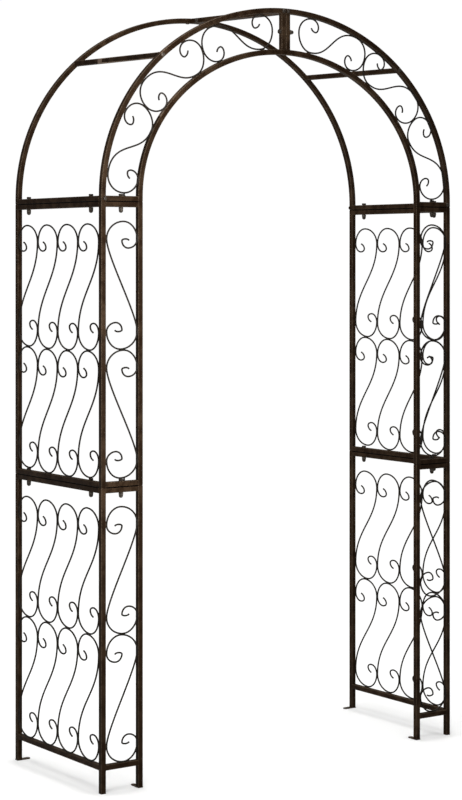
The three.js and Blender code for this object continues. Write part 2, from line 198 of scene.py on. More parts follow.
def paint(name, dark, light, worn_and_highlight, roughness, mottle, wear_and_highlight_amount):
    """A powder coat: mottled colour, a fine orange-peel skin, and paler edges, partly worn and partly
    a painted highlight.

    Where a mesh's wear_and_painted_light is negative the coat is painted near-black, as painted shade
    in the crevice between two rails.
    """
    material = bpy.data.materials.new(name)
    material.use_nodes = True
    nodes, links = material.node_tree.nodes, material.node_tree.links
    shader = nodes["Principled BSDF"]
    where = nodes.new("ShaderNodeTexCoord").outputs["Object"]

    def speckle(scale, detail):
        node = nodes.new("ShaderNodeTexNoise")
        node.inputs["Scale"].default_value = scale
        node.inputs["Detail"].default_value = detail
        links.new(where, node.inputs["Vector"])
        return node.outputs["Fac"]

    def eased(value, levels, results):
        node = nodes.new("ShaderNodeMapRange")
        node.interpolation_type = "SMOOTHSTEP"
        links.new(value, node.inputs["Value"])
        node.inputs["From Min"].default_value, node.inputs["From Max"].default_value = levels
        node.inputs["To Min"].default_value, node.inputs["To Max"].default_value = results
        return node.outputs["Result"]

    def mixed(factor, first, second):
        node = nodes.new("ShaderNodeMix")
        node.data_type = "RGBA"
        links.new(factor, node.inputs["Factor"])
        for index, value in ((MIX_FIRST, first), (MIX_SECOND, second)):
            if isinstance(value, tuple):
                node.inputs[index].default_value = (*value, 1)
            else:
                links.new(value, node.inputs[index])
        return node.outputs[MIX_RESULT]

    def times(first, second):
        node = nodes.new("ShaderNodeMath")
        node.operation = "MULTIPLY"
        links.new(first, node.inputs[0])
        links.new(second, node.inputs[1])
        return node.outputs[0]

    clouds = eased(speckle(mottle, detail=4), CLOUD_LEVELS, (0, 1))
    streaks = eased(speckle(mottle / STREAK_SIZE, detail=2), STREAK_LEVELS, (STREAK_LEAST, 1))
    colour = mixed(times(clouds, streaks), dark, light)
    edge = nodes.new("ShaderNodeAttribute")
    edge.attribute_name = "wear_and_painted_light"
    patches = eased(speckle(PATCH_GRAIN, detail=5), PATCH_LEVELS, (PATCH_LEAST, wear_and_highlight_amount))
    # Paler edges: worn paint, and on tube corners a painted highlight.
    rubbed_and_highlit = mixed(times(edge.outputs["Fac"], patches), colour, worn_and_highlight)
    # Painted shade: where the value is negative the base colour goes to near-black, for the shade in
    # the crevice.
    painted_shade = eased(edge.outputs["Fac"], CREVICE_SHADE_LEVELS, (1, 0))
    links.new(mixed(painted_shade, rubbed_and_highlit, PAINTED_CREVICE_SHADE), shader.inputs["Base Color"])

    gloss = speckle(mottle * GLOSS_GRAIN, detail=3)
    rough = eased(gloss, GLOSS_LEVELS, (roughness - GLOSS_DIP, roughness + GLOSS_RISE))
    links.new(rough, shader.inputs["Roughness"])
    shader.inputs["Metallic"].default_value = METALLIC
    shader.inputs["Specular IOR Level"].default_value = SPECULAR

    skin = nodes.new("ShaderNodeBump")
    skin.inputs["Strength"].default_value = SKIN_STRENGTH
    skin.inputs["Distance"].default_value = SKIN_DEPTH
    links.new(speckle(SKIN_GRAIN, detail=3), skin.inputs["Height"])
    links.new(skin.outputs["Normal"], shader.inputs["Normal"])
    return material


MATERIALS = {
    "tube_paint": paint(
        "bronze_tube_paint",
        dark=(0.0185, 0.0092, 0.0042),
        light=(0.0534, 0.0318, 0.0175),
        # The pale colour of the tube corners: edge wear and painted highlight.
        worn_and_highlight=(0.105, 0.077, 0.052),
        roughness=0.42,
        mottle=34,
        wear_and_highlight_amount=0.7,
    ),
    "rod_paint": paint(
        "bronze_rod_paint",
        dark=(0.0140, 0.0110, 0.0086),
        light=(0.0300, 0.0245, 0.0200),
        worn_and_highlight=(0.075, 0.064, 0.053),
        roughness=0.45,
        mottle=60,
        wear_and_highlight_amount=0.6,
    ),
    "fastener": paint(
        "bronze_fastener_paint",
        dark=(0.0240, 0.0180, 0.0135),
        light=(0.0620, 0.0510, 0.0415),
        worn_and_highlight=(0.160, 0.140, 0.118),
        roughness=0.33,
        mottle=160,
        wear_and_highlight_amount=0.9,
    ),
}


# ---- building meshes ----


class Shape:
    """The vertices, faces and edge wear of one piece, put together ring by ring."""

    def __init__(self):
        self.points = []
        self.faces = []
        self.wear_and_painted_light = []

    def ring(self, points, wear_and_painted_light):
        first = len(self.points)
        self.points.extend(points)
        self.wear_and_painted_light.extend(wear_and_painted_light)
        return list(range(first, len(self.points)))

    def bridge(self, near, far):
        """Quads from ring to ring. They face out if the rings run anticlockwise as seen from far."""
        for i in range(len(near)):
            j = (i + 1) % len(near)
            self.faces.append((near[i], near[j], far[j], far[i]))

    def cap(self, ring):
        self.faces.append(tuple(ring))

    def piece(self, name, slot, *replaced):
        """Make the finished object, which rides on the frame's one body."""
        mesh = bpy.data.meshes.new(name)
        mesh.from_pydata(self.points, [], self.faces)
        mesh.shade_smooth()
        mesh.set_sharp_from_angle(angle=SHARP)
        mesh.attributes.new("wear_and_painted_light", "FLOAT", "POINT").data.foreach_set("value", self.wear_and_painted_light)
        mesh.materials.append(MATERIALS[slot])
        made = bpy.data.objects.new(name, mesh)
        bpy.context.scene.collection.objects.link(made)
        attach(made, "root")
        if replaced:
            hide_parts(*replaced)


# Tube corners are paler: partly edge wear, partly a painted highlight along the corner.
FLAT_WEAR_AND_HIGHLIGHT = 0.25  # where a tube's rounded corner meets its flat face
CORNER_WEAR_AND_HIGHLIGHT = 0.75  # more than that at the middle of the corner
CREVICE_SHADE_MARK = -1  # the value that marks a crevice for painted shade
OPEN_WEAR = 0.15  # along a rod
CUT_WEAR = 1  # at a rod's cut end


def rounded_square(side, radius):
    """(u, v, wear) round a square with rounded corners, anticlockwise."""
    inset = side / 2 - radius
    corner = [(side / 2, inset - SUPPORT, 0)]
    for step in range(ARC_STEPS + 1):
        angle = step / ARC_STEPS * math.pi / 2
        # Paler towards the middle of each corner: edge wear and painted highlight.
        wear_and_painted_light = FLAT_WEAR_AND_HIGHLIGHT + CORNER_WEAR_AND_HIGHLIGHT * math.sin(2 * angle)
        corner.append((inset + radius * math.cos(angle), inset + radius * math.sin(angle), wear_and_painted_light))
    corner.append((inset - SUPPORT, side / 2, 0))
    outline = []
    for _ in range(4):
        outline.extend(corner)
        corner = [(-v, u, wear_and_painted_light) for u, v, wear_and_painted_light in corner]
    return outline


TUBE_OUTSIDE = rounded_square(TUBE, CORNER)
TUBE_BORE = rounded_square(TUBE - 2 * WALL, BORE_CORNER)
EASED_DEPTHS = (EASE_MIDDLE, 0)  # of the rounding's last two rings, from the end
EASED_OUTLINES = [
    rounded_square(TUBE - 2 * inset, CORNER - inset / 2) for inset in (EASE_MIDDLE, END_EASE)
]


def sweep_tube(shape, stations, closed_start=False, closed_end=False, mating=None):
    """A hollow square tube through stations of (centre, U, V), where U x V runs along it.

    A closed end is plugged, and the edge round it is rounded. The corners on the side that
    `mating` points to, where another tube lies against them, get painted shade instead of the pale
    wear and painted highlight.
    """

    def ring(outline, station, shift=0.0):
        centre, along_u, along_v = station
        centre = centre + shift * along_u.cross(along_v)
        points, wear_and_painted_light = [], []
        for u, v, rubbed_and_highlit in outline:
            offset = u * along_u + v * along_v
            # Corners that lie against another tube get painted shade.
            in_painted_shade = mating is not None and offset.dot(mating) > HALF - CORNER
            points.append(centre + offset)
            wear_and_painted_light.append(CREVICE_SHADE_MARK if in_painted_shade and rubbed_and_highlit > 0 else rubbed_and_highlit)
        return shape.ring(points, wear_and_painted_light)

    def layer(outline, depth):
        """One ring per station, with the first and last ones this deep inside a closed end."""
        first = ring(outline, stations[0], depth if closed_start else 0)
        last = ring(outline, stations[-1], -depth if closed_end else 0)
        return [first] + [ring(outline, station) for station in stations[1:-1]] + [last]

    outside, bore = layer(TUBE_OUTSIDE, END_EASE), layer(TUBE_BORE, PLUG)
    for near, far in zip(outside, outside[1:]):
        shape.bridge(near, far)
    for near, far in zip(bore, bore[1:]):
        shape.bridge(far, near)
    for closed, station, edge, hollow, way in (
        (closed_start, stations[0], outside[0], bore[0], 1),
        (closed_end, stations[-1], outside[-1], bore[-1], -1),
    ):
        if not closed:
            shape.bridge(*((hollow, edge) if way > 0 else (edge, hollow)))
            continue
        for outline, depth in zip(EASED_OUTLINES, EASED_DEPTHS):
            eased = ring(outline, station, way * depth)
            shape.bridge(*((eased, edge) if way > 0 else (edge, eased)))
            edge = eased
        shape.cap(edge[::-1] if way > 0 else edge)
        shape.cap(hollow if way > 0 else hollow[::-1])


def straight_stations(start, end, side_axis):
    run = (end - start).normalized()
    return [(point, side_axis.cross(run), side_axis) for point in (start, end)]


def add_tube(name, start, end, side_axis, *replaced, **details):
    shape = Shape()
    sweep_tube(shape, straight_stations(start, end, side_axis), **details)
    shape.piece(name, "tube_paint", *replaced)


def directions(points):
    """The direction of travel at each point of a path."""
    found = []
    for i in range(len(points)):
        before, after = points[max(i - 1, 0)], points[min(i + 1, len(points) - 1)]
        found.append((after - before).normalized())
    return found


ROUND_END = (15, 40, 65, 82)  # degrees round the edge of a cut rod end
END_DEPTH = 0.45  # of that rounding, in rod radii


def sweep_rod(shape, points, normal):
    """A round rod along a path in the plane with this normal, its cut ends slightly rounded."""
    radius = ROD / 2
    along = directions(points)

    def ring(centre, travel, size, wear_and_painted_light):
        across = normal.cross(travel)
        turns = [2 * math.pi * k / ROD_SIDES for k in range(ROD_SIDES)]
        circle = [centre + size * (math.cos(t) * across + math.sin(t) * normal) for t in turns]
        return shape.ring(circle, [wear_and_painted_light] * ROD_SIDES)

    def end_rings(point, travel, outward):
        made = []
        for degrees in ROUND_END:
            angle = math.radians(degrees)
            offset = outward * END_DEPTH * radius * math.sin(angle)
            made.append(ring(point + offset * travel, travel, radius * math.cos(angle), CUT_WEAR))
        return made

    rings = end_rings(points[0], along[0], -1)[::-1]
    rings += [ring(point, travel, radius, OPEN_WEAR) for point, travel in zip(points, along)]
    rings += end_rings(points[-1], along[-1], 1)
    for near, far in zip(rings, rings[1:]):
        shape.bridge(near, far)
    shape.cap(rings[0][::-1])
    shape.cap(rings[-1])


def turned(shape, origin, axis, side_axis, rings):
    """A turned or hexagonal body. Each ring is (height, radius limit, flats or None, wear)."""
    other_axis = axis.cross(side_axis)
    made = []
    for height, limit, flats, wear_and_painted_light in rings:
        points = []
        for k in range(HEX_SIDES):
            angle = 2 * math.pi * k / HEX_SIDES
            radius = limit
            if flats is not None:
                from_flat = (angle + math.pi / 6) % (math.pi / 3) - math.pi / 6
                radius = min(limit, flats / 2 / math.cos(from_flat))
            spoke = math.cos(angle) * side_axis + math.sin(angle) * other_axis
            points.append(origin + height * axis + radius * spoke)
        made.append(shape.ring(points, [wear_and_painted_light] * HEX_SIDES))
    for near, far in zip(made, made[1:]):
        shape.bridge(near, far)
    shape.cap(made[0][::-1])
    shape.cap(made[-1])


NOISE_REACH = 40  # each bead reads the noise at a place of its own, drawn from this far
BEAD_NOISE = 420  # lumps per metre
BEAD_LUMPS = 0.22
BEAD_WEAR = 0.3


def add_bead(shape, centre, along, across, length, width):
    """A lumpy weld bead, longer along the rod than across it."""
    up = along.cross(across)
    shift = Vector((dice.random(), dice.random(), dice.random())) * NOISE_REACH
    rows = BEAD_SIDES - 2
    rings = []
    for row in range(1, rows):
        tilt = math.pi * row / rows
        points = []
        for k in range(BEAD_SIDES):
            turn = 2 * math.pi * k / BEAD_SIDES
            offset = -length / 2 * math.cos(tilt) * along
            offset += width / 2 * math.sin(tilt) * (math.cos(turn) * across + math.sin(turn) * up)
            lump = 1 + BEAD_LUMPS * noise.noise(offset * BEAD_NOISE + shift)
            points.append(centre + offset * lump)
        rings.append(shape.ring(points, [BEAD_WEAR] * BEAD_SIDES))
    for near, far in zip(rings, rings[1:]):
        shape.bridge(near, far)
    for ring, tip_side in ((rings[0], -1), (rings[-1], 1)):
        tip = shape.ring([centre + tip_side * length / 2 * along], [BEAD_WEAR])[0]
        for k in range(BEAD_SIDES):
            pair = (ring[k], ring[(k + 1) % BEAD_SIDES])
            shape.faces.append((*(pair if tip_side > 0 else pair[::-1]), tip))


SEAM_RADIUS = 0.0011
SEAM_SINK = 0.0005  # the seam's centreline lies this far inside the tube's faces
SEAM_STEP = 0.0011
SEAM_RIPPLE = 0.22
SEAM_STITCH = 0.12  # by which every second step is thicker
SEAM_NOISE = 0.9  # noise travelled in one step
SEAM_NOISE_REACH = 50
SEAM_WEAR = 0.2


def add_seam(shape, centre, along_u, along_v):
    """The rippled weld round the end of a tube that butts against another."""
    outline = rounded_square(TUBE - 2 * SEAM_SINK, CORNER)
    corners = [Vector((u, v)) for u, v, _ in outline]
    path = []
    for here, after in zip(corners, corners[1:] + corners[:1]):
        steps = max(1, round((after - here).length / SEAM_STEP))
        path += [here.lerp(after, k / steps) for k in range(steps)]
    out_of_plane = along_u.cross(along_v)
    shift = dice.random() * SEAM_NOISE_REACH
    rings = []
    for i, place in enumerate(path):
        travel = (path[(i + 1) % len(path)] - path[i - 1]).normalized()
        outward = travel.y * along_u - travel.x * along_v
        ripple = noise.noise(Vector((i * SEAM_NOISE + shift, 0, 0)))
        radius = SEAM_RADIUS * (1 + SEAM_RIPPLE * ripple + SEAM_STITCH * (i % 2))
        middle = centre + place.x * along_u + place.y * along_v
        points = []
        for k in range(BEAD_SIDES):
            turn = 2 * math.pi * k / BEAD_SIDES
            spoke = math.cos(turn) * outward + math.sin(turn) * out_of_plane
            points.append(middle + radius * spoke)
        rings.append(shape.ring(points, [SEAM_WEAR] * BEAD_SIDES))
    for near, far in zip(rings, rings[1:] + rings[:1]):
        shape.bridge(far, near)


# ---- scroll paths ----


def quarter_turn(start, end, upright):
    """A quarter ellipse between two extreme points, without the first one."""
    found = []
    for step in range(1, TURN_STEPS + 1):
        angle = step / TURN_STEPS * math.pi / 2
        early, late = math.sin(angle), 1 - math.cos(angle)
        share_u, share_v = (late, early) if upright else (early, late)
        u = start.x + (end.x - start.x) * share_u
        v = start.y + (end.y - start.y) * share_v
        found.append(Vector((u, v)))
    return found


def half_scroll(a, b, style):
    """From the middle of the stem to the tip of the upper curl, about the scroll's centre."""
    extremes = [Vector((u * a, b - down)) for u, down in style["curl"]]
    shoulder = extremes[0]
    bend = Vector((0, style["bend"]))
    controls = (-shoulder, bend - shoulder, shoulder - bend, shoulder)
    found = []
    for step in range(STEM_STEPS + 1):
        t = 0.5 + 0.5 * step / STEM_STEPS
        shares = ((1 - t) ** 3, 3 * t * (1 - t) ** 2, 3 * t * t * (1 - t), t**3)
        found.append(sum((s * c for s, c in zip(shares, controls)), Vector((0, 0))))
    for i in range(len(extremes) - 1):
        found += quarter_turn(extremes[i], extremes[i + 1], i % 2 == 0)
    return found[: len(found) - (TURN_STEPS - TIP_STEPS)]


def scroll_points(width, height, style):
    upper = half_scroll((width - ROD) / 2, (height - ROD) / 2, style)
    lower = [-point for point in upper[1:]]
    return lower[::-1] + upper


# ---- tower sections ----


class Section:
    """One stacked section of one tower, with its levels read from the frame."""

    def __init__(self, side, name):
        self.side = side
        self.sign = SIDES[side]
        self.upper = name == "upper"
        self.title = f"{side}_{name}"
        self.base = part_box(f"{self.title}_side_scrollwork")[0].z
        self.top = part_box(f"{self.title}_side_top_rail")[1].z
        self.rail_top = self.base + TUBE
        self.bottom_rail_z = self.base + HALF - (CLOSE if self.upper else 0)
        self.top_rail_z = self.top - HALF + CLOSE
        self.below = -Z if self.upper else None  # the bottom rails' mating side
        self.x = self.sign * POST_X
        self.wing_x = self.sign * WING_MIDDLE


TAB_BEVEL = 0.0005
TAB_STEPS = 16  # round the end of a tab
TAB_WEAR = 0.8
TAB_LEVELS = (  # height, and how far the edges are drawn in there
    (0, TAB_BEVEL),
    (TAB_BEVEL, 0),
    (TAB_THICKNESS - TAB_BEVEL, 0),
    (TAB_THICKNESS, TAB_BEVEL),
)


def add_foot_tab(name, foot, reach_axis):
    """A plate with a rounded end and a hole, under a post and out along reach_axis."""
    across = Z.cross(reach_axis)
    end_centre = Vector((TAB_REACH, 0))
    hole_centre = Vector((HALF + TAB_REACH - TUBE, 0))

    def outline(shrink):
        radius = HALF - shrink
        found = [Vector((-radius, -radius))]
        for k in range(TAB_STEPS + 1):
            angle = -math.pi / 2 + math.pi * k / TAB_STEPS
            found.append(end_centre + radius * Vector((math.cos(angle), math.sin(angle))))
        found.append(Vector((-radius, radius)))
        return found

    def hole(grow):
        """As many points as the outline has, each on the ray from the hole to its point."""
        spokes = [(point - hole_centre).normalized() for point in outline(0)]
        return [hole_centre + (TAB_HOLE / 2 + grow) * spoke for spoke in spokes]

    shape = Shape()

    def ring(points, height):
        placed = [foot + p.x * reach_axis + p.y * across + height * Z for p in points]
        return shape.ring(placed, [TAB_WEAR] * len(placed))

    outside = [ring(outline(shrink), height) for height, shrink in TAB_LEVELS]
    inside = [ring(hole(shrink), height) for height, shrink in TAB_LEVELS]
    for near, far in zip(outside, outside[1:]):
        shape.bridge(near, far)
    for near, far in zip(inside, inside[1:]):
        shape.bridge(far, near)
    shape.bridge(inside[0], outside[0])
    shape.bridge(outside[-1], inside[-1])
    shape.piece(name, "tube_paint")


def add_posts(section):
    seams = Shape()
    posts = (
        ("outer_back", section.x, POST_Y, -section.sign * X),
        ("outer_front", section.x, -POST_Y, None),
        ("inner_front", section.sign * INNER_X, -POST_Y, Y),
    )
    for name, x, y, reach_axis in posts:
        node = f"{section.title}_post_{name}"
        tabbed = reach_axis is not None and not section.upper
        foot, top = (corner.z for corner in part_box(node))
        if tabbed:
            foot += TAB_THICKNESS
        if section.upper:
            foot -= CLOSE
        ends = Vector((x, y, foot)), Vector((x, y, top + CLOSE))
        add_tube(f"{node}_tube", *ends, Y, node, closed_start=section.upper, closed_end=True)
        if tabbed:
            add_foot_tab(f"{section.side}_{name}_foot_tab", Vector((x, y, 0)), reach_axis)
            add_seam(seams, Vector((x, y, TAB_THICKNESS)), X, Y)
    if seams.points:
        seams.piece(f"{section.side}_foot_welds", "tube_paint")


def add_side_rail(name, x, z, seams, mating, *replaced):
    reach = POST_Y - HALF
    ends = Vector((x, -reach, z)), Vector((x, reach, z))
    add_tube(name, *ends, X, *replaced, mating=mating)
    for y in (-reach, reach):
        add_seam(seams, Vector((x, y, z)), Z, X)


def add_wing_rail(name, sign, z, seams, mating, *replaced):
    reaches = sorted((sign * (INNER_X + HALF), sign * (POST_X - HALF)))
    ends = [Vector((x, -POST_Y, z)) for x in reaches]
    add_tube(name, *ends, Y, *replaced, mating=mating)
    for x in reaches:
        add_seam(seams, Vector((x, -POST_Y, z)), Y, Z)


# The length and width of a weld bead:
PEG_BEAD = (0.0095, 0.0055)  # round the foot of a peg
SIDE_BEAD = (0.017, 0.0040)  # where a rod meets its neighbour or a post
ROW_BEAD = (0.012, 0.0050)  # where two rods meet end to end
RAIL_BEAD = (0.014, 0.0032)  # where a rod stands on a rail


def add_peg(name, sign, rail_top, welds):
    """The stand-off beside a wing's bolt head that carries the scroll held clear of it."""
    x = sign * (WING_MIDDLE - PEG_INSET)
    foot = Vector((x, -POST_Y - ROD_OFFSET, rail_top))
    height = SCROLL_LIFT + PEG_BITE
    shape = Shape()
    sweep_rod(shape, [foot, foot + height / 2 * Z, foot + height * Z], X)
    add_bead(welds, foot, X, Z, *PEG_BEAD)
    shape.piece(name, "rod_paint")


def shoulder_drop(style):
    """From a scroll's top to where it touches its neighbours."""
    return (style["curl"][0][1] + style["curl"][2][1]) / 2


def add_scroll_column(title, across, centre, width, span, hand, style, edges, welds):
    """Two S-scrolls, one above the other in a span of levels, in the plane of `across` and Z.

    They are welded to each other, and to what stands at each of the given edges.
    """
    bottom, top = span
    height = (top - bottom + ROW_WELD) / 2
    normal = across.cross(Z)
    for row, middle in (("low", bottom + height / 2), ("high", top - height / 2)):
        place = Vector((centre.x, centre.y, middle))
        points = []
        for point in scroll_points(width, height, style):
            points.append(place + hand * point.x * across + point.y * Z)
        shape = Shape()
        sweep_rod(shape, points, normal)
        shape.piece(f"{title}_{row}", "rod_paint")
        shoulder = height / 2 - shoulder_drop(style)
        for drop in (-shoulder, shoulder):
            for edge in edges:
                spot = place + edge * (width / 2 - WELD / 2) * across + drop * Z
                add_bead(welds, spot, Z, across, *SIDE_BEAD)
    joint = Vector((centre.x, centre.y, bottom + height - ROW_WELD / 2))
    add_bead(welds, joint, across, Z, *ROW_BEAD)


def add_rail_bead(welds, across, centre, width, style, hand, rail_top):
    """The weld of a scroll's lowest point to the rail that it stands on."""
    lowest = -style["curl"][1][0] * (width - ROD) / 2 * hand
    spot = Vector((centre.x, centre.y, rail_top)) + lowest * across
    add_bead(welds, spot, across, Z, *RAIL_BEAD)


def add_side_panel(section):
    """The rails and scrolls of a side. The bottom rail stands for the frame's whole scrollwork."""
    title = f"{section.title}_side"
    seams, welds = Shape(), Shape()
    node = f"{title}_scrollwork"
    bottom_z, top_z = section.bottom_rail_z, section.top_rail_z
    add_side_rail(f"{title}_bottom_rail_tube", section.x, bottom_z, seams, section.below, node)
    top_node = f"{title}_top_rail"
    add_side_rail(f"{top_node}_tube", section.x, top_z, seams, Z, top_node)
    seams.piece(f"{title}_rail_welds", "tube_paint")

    x = section.x + section.sign * ROD_OFFSET
    pitch = (2 * (POST_Y - HALF - GAP) - 2 * WELD) / SCROLL_COLUMNS
    width = pitch + 2 * WELD
    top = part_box(node)[1].z
    for column in range(SCROLL_COLUMNS):
        centre = Vector((x, (column - (SCROLL_COLUMNS - 1) / 2) * pitch, 0))
        lifted = section.upper and column in (0, SCROLL_COLUMNS - 1)
        span = (section.rail_top - WELD + (SCROLL_LIFT if lifted else 0), top)
        edges = (-1, 1) if column == 0 else (1,)
        name = f"{title}_scroll_{column + 1}"
        add_scroll_column(name, Y, centre, width, span, 1, SIDE_SCROLL, edges, welds)
        if not lifted:
            add_rail_bead(welds, Y, centre, width, SIDE_SCROLL, 1, section.rail_top)
    welds.piece(f"{title}_scroll_welds", "rod_paint")


def add_wing(section):
    """The rails and scrolls of a wing. The bottom rail stands for the frame's whole scrollwork."""
    title = f"{section.title}_wing"
    seams, welds = Shape(), Shape()
    node = f"{title}_scrollwork"
    bottom_z, top_z = section.bottom_rail_z, section.top_rail_z
    add_wing_rail(f"{title}_bottom_rail_tube", section.sign, bottom_z, seams, section.below, node)
    top_node = f"{title}_top_rail"
    add_wing_rail(f"{top_node}_tube", section.sign, top_z, seams, Z, top_node)
    seams.piece(f"{title}_rail_welds", "tube_paint")

    centre = Vector((section.wing_x, -POST_Y - ROD_OFFSET, 0))
    hand = -section.sign if section.upper else section.sign
    width = WING_PITCH - TUBE - 2 * GAP
    span = (section.rail_top + (SCROLL_LIFT if section.upper else -WELD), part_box(node)[1].z)
    add_scroll_column(f"{title}_scroll", X, centre, width, span, hand, WING_SCROLL, (-1, 1), welds)
    if section.upper:
        add_peg(f"{title}_peg", section.sign, section.rail_top, welds)
    else:
        add_rail_bead(welds, X, centre, width, WING_SCROLL, hand, section.rail_top)
    welds.piece(f"{title}_scroll_welds", "rod_paint")


# ---- the arched top ----


def arch_point(angle, offset, rise=FRONT_RISE):
    """(x, z) and the outward normal on the right half, where angle 0 is the springing."""
    on_curve = Vector((POST_X * math.cos(angle), rise * math.sin(angle)))
    normal = Vector((math.cos(angle) / POST_X, math.sin(angle) / rise)).normalized()
    return on_curve + offset * normal + Vector((0, SPRING_Z)), normal


def add_arch(node, sign, offset, rise, y):
    """A bent tube from the top joint to the crown seam."""
    stations = []

    def station(point, normal):
        outward = Vector((sign * normal.x, 0, normal.y))
        stations.append((Vector((sign * point.x, y, point.y)), sign * outward, Y))

    station(Vector((POST_X + offset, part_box(node)[0].z - CLOSE)), Vector((1, 0)))
    for step in range(ARCH_STEPS):
        station(*arch_point(step / ARCH_STEPS * math.pi / 2, offset, rise))
    station(Vector((GAP / 2, SPRING_Z + rise + offset)), Vector((0, 1)))
    shape = Shape()
    sweep_tube(shape, stations, closed_start=True, closed_end=True)
    shape.piece(f"{node}_tube", "tube_paint", node)


def band_table():
    """(length, angle) along the line midway between the two front arches."""
    table = [(0, 0)]
    length = 0
    before = arch_point(0, -WING_PITCH / 2)[0]
    for step in range(1, BAND_STEPS + 1):
        angle = step / BAND_STEPS * math.pi / 2
        here = arch_point(angle, -WING_PITCH / 2)[0]
        length += (here - before).length
        table.append((length, angle))
        before = here
    return table


BAND_TABLE = band_table()
BAND_LENGTH = BAND_TABLE[-1][0]


def band_angle(distance):
    """The arch angle at a distance along the band, in metres."""
    for (near, near_angle), (far, far_angle) in zip(BAND_TABLE, BAND_TABLE[1:]):
        if distance <= far:
            share = (distance - near) / (far - near)
            return near_angle + share * (far_angle - near_angle)
    return math.pi / 2


def add_band(side):
    """The scrolls of one half of the band. The first stands for the frame's whole node."""
    sign = SIDES[side]
    node = f"{side}_band_scrolls"
    welds = Shape()
    start = SCROLL_LIFT + ROW_WELD / 2
    step = (BAND_LENGTH - CROWN_ROOM - start) / BAND_SCROLLS
    width = WING_PITCH - TUBE - FACET_ROOM

    def place(u, distance):
        point, _ = arch_point(band_angle(distance), u - WING_PITCH / 2)
        return Vector((sign * point.x, -POST_Y - ROD_OFFSET, point.y))

    for index in range(BAND_SCROLLS):
        middle = start + (index + 0.5) * step
        height = step + ROW_WELD
        points = [place(p.x, middle + p.y) for p in scroll_points(width, height, BAND_SCROLL)]
        shape = Shape()
        sweep_rod(shape, points, Y)
        shape.piece(f"{node}_{index + 1}", "rod_paint", *([node] if index == 0 else []))
        shoulder = height / 2 - shoulder_drop(BAND_SCROLL)
        for along in (middle - shoulder, middle + shoulder):
            for edge in (-1, 1):
                spot = place(edge * width / 2, along)
                travel = (place(edge * width / 2, along + ROD) - spot).normalized()
                add_bead(welds, spot, travel, travel.cross(Y), *SIDE_BEAD)
        if index > 0:
            joint = place(0, start + index * step)
            across = (place(ROD, start + index * step) - joint).normalized()
            add_bead(welds, joint, across, across.cross(Y), *ROW_BEAD)
    add_peg(f"{side}_band_peg", sign, SPRING_Z + GAP / 2, welds)
    welds.piece(f"{node}_welds", "rod_paint")


def add_cross_tube(name, x, back_z, front_z, seams, *replaced):
    """A tube from the back arch down to the front one, with its end welds.

    It is a little short, because it slopes and its ends are cut square.
    """
    reach = POST_Y - HALF
    back, front = Vector((x, reach, back_z)), Vector((x, -reach, front_z))
    slack = (front - back).normalized() * HALF * (back_z - front_z) / (2 * reach)
    add_tube(name, back + slack, front - slack, X, *replaced)
    for end in (back, front):
        add_seam(seams, end, Z, X)


BASE_RAIL_Z = TOP_Z + GAP / 2 + HALF - CLOSE
CROWN_X = HALF + GAP / 2


def add_base_rails(side, seams):
    side_node, wing_node = f"{side}_side_base_rail", f"{side}_wing_base_rail"
    add_side_rail(f"{side_node}_tube", SIDES[side] * POST_X, BASE_RAIL_Z, seams, -Z, side_node)
    add_wing_rail(f"{wing_node}_tube", SIDES[side], BASE_RAIL_Z, seams, -Z, wing_node)


def add_crown(side, seams):
    """The upright between the front arches, and the bar from front to back."""
    x = SIDES[side] * CROWN_X
    upright = f"{side}_crown_upright"
    ends = [Vector((x, -POST_Y, corner.z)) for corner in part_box(upright)]
    add_tube(f"{upright}_tube", *ends, Y, upright)
    add_seam(seams, ends[0], X, Y)
    add_seam(seams, ends[1], X, Y)
    bar = f"{side}_crown_bar"
    add_cross_tube(f"{bar}_tube", x, BACK_CROWN_Z, CROWN_Z, seams, bar)


def add_brace(side, seams):
    brace = f"{side}_arch_brace"
    back, _ = arch_point(BRACE_ANGLE, 0, BACK_RISE)
    front, _ = arch_point(BRACE_ANGLE, 0, FRONT_RISE)
    add_cross_tube(f"{brace}_tube", SIDES[side] * front.x, back.y, front.y, seams, brace)


# The profile of a small screw. Shares are of the head's height or radius.
SCREW_NECK = 0.5  # radius of the part inside the tube's wall
SCREW_RIM = 0.35  # height of the straight rim under the dome
SCREW_DOME = (25, 45, 62)  # degrees up the dome
SCREW_FULLNESS = 0.7  # power of the dome's cosine: less than 1 is fuller than an ellipse
SCREW_FLOOR = 0.8  # height of the socket's floor
SCREW_WEAR = 0.3
SOCKET = 0.0014  # across the flats
SOCKET_MOUTH = 0.62 * SOCKET  # radius of its round mouth
SOCKET_EASE = 0.0001


def add_screw(name, centre, axis, side_axis):
    """A domed screw with a small hexagon socket, seated on a tube's face."""
    radius = SCREW_HEAD / 2
    rings = [
        (-WALL, radius * SCREW_NECK, None, 0),
        (0, radius * SCREW_NECK, None, 0),
        (0, radius, None, 0.1),
        (SCREW_HEIGHT * SCREW_RIM, radius, None, SCREW_WEAR),
    ]
    for degrees in SCREW_DOME:
        angle = math.radians(degrees)
        height = SCREW_HEIGHT * (SCREW_RIM + (1 - SCREW_RIM) * math.sin(angle))
        rings.append((height, radius * math.cos(angle) ** SCREW_FULLNESS, None, SCREW_WEAR))
    rings += [
        (SCREW_HEIGHT, SOCKET_MOUTH, None, SCREW_WEAR),
        (SCREW_HEIGHT - SOCKET_EASE, SOCKET, SOCKET, SCREW_WEAR),
        (SCREW_HEIGHT * SCREW_FLOOR, SOCKET, SOCKET, 0.1),
    ]
    shape = Shape()
    turned(shape, centre, axis, side_axis, rings)
    shape.piece(name, "fastener")


